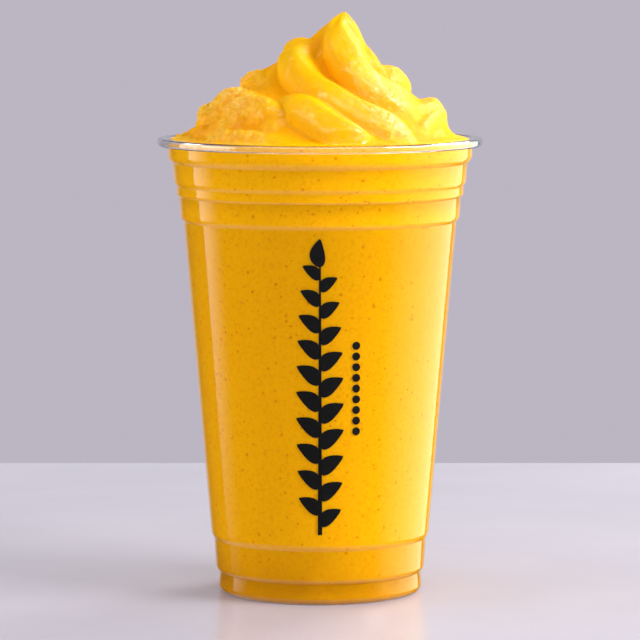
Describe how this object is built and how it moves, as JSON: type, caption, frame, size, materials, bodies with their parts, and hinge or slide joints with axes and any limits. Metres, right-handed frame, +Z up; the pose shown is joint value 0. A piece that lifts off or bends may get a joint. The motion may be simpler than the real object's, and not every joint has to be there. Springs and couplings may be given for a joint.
{
  "type": "mango smoothie",
  "caption": "Clear stepped takeaway cup with a rolled lip, filled to the brim with thick mango smoothie that stands up in a folded swirl.",
  "frame": {"origin": "centre of the ground face of the cup's foot ring", "axes": "+Z up through the cup's axis, -Y towards the front, +X to the front's right"},
  "size_m": [0.098, 0.098, 0.1754],
  "materials": {
    "clear_plastic": "clear formed sheet, glossy",
    "smoothie": "wet, thick blended mango with fine fibres and bubbles",
    "print": "black ink printed on the outside of the cup"
  },
  "bodies": {
    "root": {"cup": "clear_plastic", "smoothie": "smoothie"}
  },
  "joints": []
}
